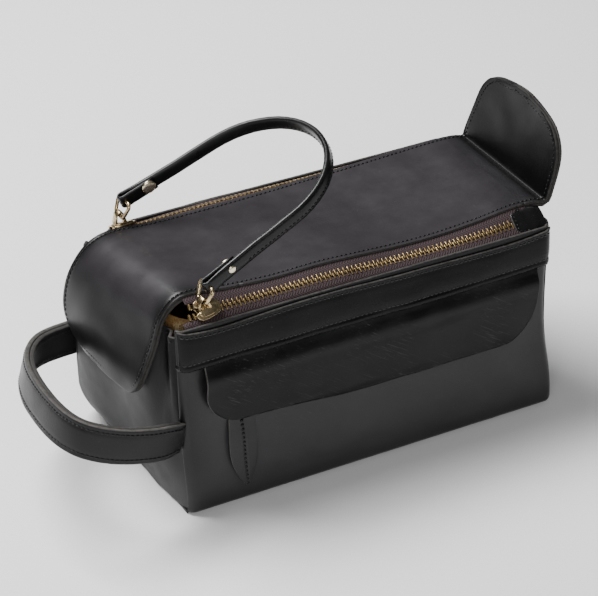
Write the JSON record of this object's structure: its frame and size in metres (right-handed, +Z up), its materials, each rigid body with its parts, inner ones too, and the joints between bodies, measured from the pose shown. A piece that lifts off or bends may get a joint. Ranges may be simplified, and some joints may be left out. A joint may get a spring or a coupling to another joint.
{
  "type": "shaving kit bag",
  "caption": "Boxy leather shaving kit bag: zipped flat lid with end tongue and ear, looped wrist strap on the sliders, side handle and flapped front zip pocket.",
  "frame": {"origin": "centre of the base, on the surface that the bag stands on", "axes": "+X along the bag from the handle end to the ear end, +Y from the pocket side to the back, +Z up"},
  "size_m": [0.3348, 0.1362, 0.192],
  "materials": {
    "outer_leather": "waxed, semi-gloss, fine scratches",
    "facing_leather": "matt, raw edges",
    "zip_tape": "woven herringbone",
    "antique_brass": "aged, soft shine",
    "pale_brass": "polished",
    "lining_cloth": "patterned weave",
    "board": "plain"
  },
  "bodies": {
    "bag": {"body_wrap": "outer_leather", "left_end_panel": "outer_leather", "right_end_panel": "outer_leather", "front_band": "outer_leather", "back_band": "outer_leather", "base_board": "board", "bag_lining": "lining_cloth", "front_bag_tape": "zip_tape", "back_bag_tape": "zip_tape", "front_tape_end": "zip_tape", "back_tape_end": "zip_tape", "front_bag_teeth": "antique_brass", "back_bag_teeth": "antique_brass", "front_bag_stop": "antique_brass", "back_bag_stop": "antique_brass", "front_zip_tab": "outer_leather", "back_zip_tab": "outer_leather", "lid_end": "outer_leather", "lid_end_facing": "facing_leather", "pocket_upper_tape": "zip_tape", "pocket_lower_tape": "zip_tape", "pocket_teeth": "antique_brass", "pocket_bag": "lining_cloth"},
    "lid": {"lid_panel": "outer_leather", "lid_facing": "facing_leather", "front_lid_tape": "zip_tape", "back_lid_tape": "zip_tape", "front_lid_teeth": "antique_brass", "back_lid_teeth": "antique_brass", "front_lid_stop": "antique_brass", "back_lid_stop": "antique_brass"},
    "left_flap": {"left_flap": "outer_leather", "left_flap_facing": "facing_leather"},
    "front_slider": {"front_slider": "antique_brass"},
    "back_slider": {"back_slider": "antique_brass"},
    "front_ring": {"front_ring": "antique_brass"},
    "back_ring": {"back_ring": "antique_brass"},
    "wrist_strap": {"wrist_strap": "outer_leather", "strap_rivets": "pale_brass"},
    "right_ear": {"right_ear": "outer_leather", "right_ear_facing": "facing_leather"},
    "handle": {"handle_outer": "outer_leather", "handle_inner": "outer_leather"},
    "pocket_flap": {"pocket_flap": "outer_leather"},
    "pocket_slider": {"pocket_slider": "antique_brass"},
    "pocket_pull": {"pocket_link": "antique_brass", "pocket_pull": "outer_leather"}
  },
  "joints": [
    {"name": "lid_open", "type": "hinge", "parent": "bag", "child": "lid", "pos_m": [0.088, 0, 0.132], "axis": [0, 1, 0], "range_deg": [0, 80]},
    {"name": "left_flap_lift", "type": "hinge", "parent": "lid", "child": "left_flap", "pos_m": [-0.108, 0, 0.132], "axis": [0, 1, 0], "range_deg": [0, 100]},
    {"name": "front_slider_travel", "type": "slide", "parent": "lid", "child": "front_slider", "axis": [1, 0, 0], "range_m": [0, 0.1849]},
    {"name": "back_slider_travel", "type": "slide", "parent": "lid", "child": "back_slider", "axis": [1, 0, 0], "range_m": [0, 0.1849]},
    {"name": "front_ring_turn", "type": "hinge", "parent": "front_slider", "child": "front_ring", "pos_m": [-0.105, -0.05385, 0.1335], "axis": [0, 1, 0], "range_deg": [-102, 0]},
    {"name": "back_ring_turn", "type": "hinge", "parent": "back_slider", "child": "back_ring", "pos_m": [-0.105, 0.05385, 0.1335], "axis": [0, 1, 0], "range_deg": [-102, 0]},
    {"name": "strap_swing", "type": "hinge", "parent": "front_ring", "child": "wrist_strap", "pos_m": [-0.10125, 0, 0.14277], "axis": [0, 1, 0], "range_deg": [-100, 10]},
    {"name": "right_ear_fold", "type": "hinge", "parent": "bag", "child": "right_ear", "pos_m": [0.1285, 0, 0.132], "axis": [0, 1, 0], "range_deg": [-25, 150]},
    {"name": "handle_tilt", "type": "hinge", "parent": "bag", "child": "handle", "pos_m": [-0.137, 0, 0.056], "axis": [0, 1, 0], "range_deg": [-25, 25]},
    {"name": "pocket_flap_lift", "type": "hinge", "parent": "bag", "child": "pocket_flap", "pos_m": [0, -0.0655, 0.0975], "axis": [-1, 0, 0], "range_deg": [0, 115]},
    {"name": "pocket_slider_travel", "type": "slide", "parent": "bag", "child": "pocket_slider", "axis": [1, 0, 0], "range_m": [0, 0.175]},
    {"name": "pocket_pull_swing", "type": "hinge", "parent": "pocket_slider", "child": "pocket_pull", "pos_m": [-0.0856, -0.065, 0.089], "axis": [0, 1, 0], "range_deg": [-35, 35]}
  ],
  "couplings": [
    {"joint": "front_slider_travel", "follows": "lid_open", "m_per_rad": 0.13242},
    {"joint": "back_slider_travel", "follows": "lid_open", "m_per_rad": 0.13242},
    {"joint": "front_ring_turn", "follows": "lid_open", "ratio": -1.275},
    {"joint": "back_ring_turn", "follows": "lid_open", "ratio": -1.275}
  ]
}
